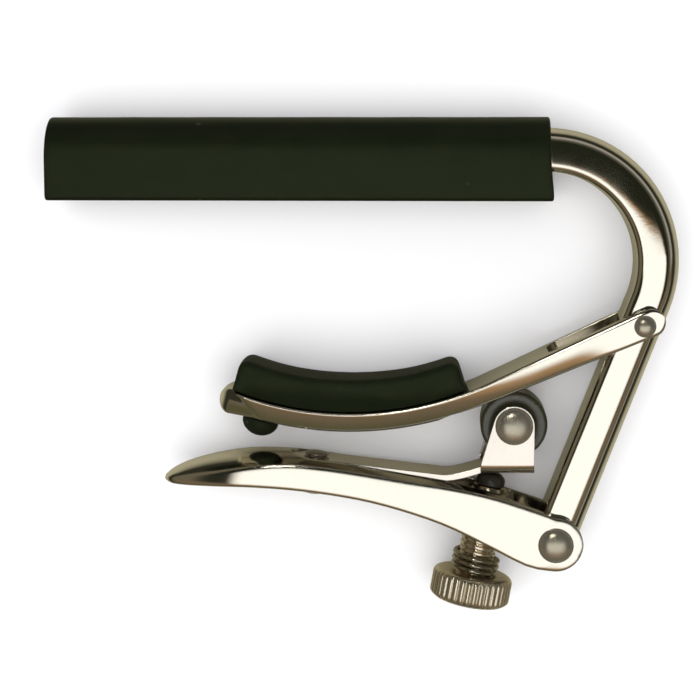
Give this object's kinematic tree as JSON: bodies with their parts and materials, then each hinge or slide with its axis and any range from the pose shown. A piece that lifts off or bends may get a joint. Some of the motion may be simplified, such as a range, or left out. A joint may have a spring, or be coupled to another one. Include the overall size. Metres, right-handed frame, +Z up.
{
  "type": "guitar capo",
  "caption": "Clamp for a guitar neck: hooked bar with a rubber sleeve, padded swing arm, and a locking lever with a roller and an adjusting screw.",
  "frame": {"origin": "centre of the bounding box's bottom face, with the capo lying on its side", "axes": "+X along the string bar towards its bend, +Y from the lever to the string bar, +Z up, across the width and along every pivot"},
  "size_m": [0.0816, 0.0644, 0.0123],
  "materials": {
    "nickel_plated_brass": "polished nickel plate over cast and drawn brass",
    "plated_spring_steel": "nickel-plated sheet",
    "rivet_metal": "satin, tumbled and peened",
    "sleeve_rubber": "smooth extruded black rubber",
    "pad_rubber": "moulded black rubber",
    "roller_plastic": "satin black plastic"
  },
  "bodies": {
    "frame": {"string_bar": "nickel_plated_brass", "string_sleeve": "sleeve_rubber"},
    "swing_arm": {"swing_arm": "nickel_plated_brass", "neck_pad": "pad_rubber", "arm_pivot_rivet": "rivet_metal"},
    "lever": {"lever": "nickel_plated_brass", "lever_pivot_rivet": "rivet_metal", "bracket_rivet": "rivet_metal"},
    "bracket": {"roller_bracket": "plated_spring_steel", "roller_axle": "rivet_metal"},
    "roller": {"roller": "roller_plastic"},
    "screw_tip": {"screw_tip": "roller_plastic"},
    "thumb_screw": {"thumb_screw": "nickel_plated_brass", "friction_spring": "rivet_metal"}
  },
  "joints": [
    {"name": "arm_pivot", "type": "hinge", "parent": "frame", "child": "swing_arm", "pos_m": [0.03615, 0.00575, 0.00615], "axis": [0, 0, -1], "range_deg": [0, 22]},
    {"name": "lever_pivot", "type": "hinge", "parent": "frame", "child": "lever", "pos_m": [0.02525, -0.02285, 0.00615], "axis": [0, 0, 1], "range_deg": [-2, 115]},
    {"name": "screw_travel", "type": "slide", "parent": "lever", "child": "screw_tip", "axis": [0.1736, 0.9848, 0], "range_m": [-0.002, 0]},
    {"name": "screw_turn", "type": "hinge", "parent": "screw_tip", "child": "thumb_screw", "pos_m": [0.0171, -0.0141, 0.00615], "axis": [0.1736, 0.9848, 0], "range_deg": [-900, 0]},
    {"name": "bracket_flex", "type": "hinge", "parent": "lever", "child": "bracket", "pos_m": [-0.00615, -0.01265, 0.00615], "axis": [0, 0, 1], "range_deg": [-5, 0]},
    {"name": "roller_spin", "type": "hinge", "parent": "bracket", "child": "roller", "pos_m": [0.01975, -0.00745, 0.00615], "axis": [0, 0, 1], "continuous": true}
  ],
  "couplings": [
    {"joint": "screw_travel", "follows": "screw_turn", "m_per_rad": 0.00012633},
    {"joint": "bracket_flex", "follows": "screw_turn", "ratio": 0.0054572}
  ]
}
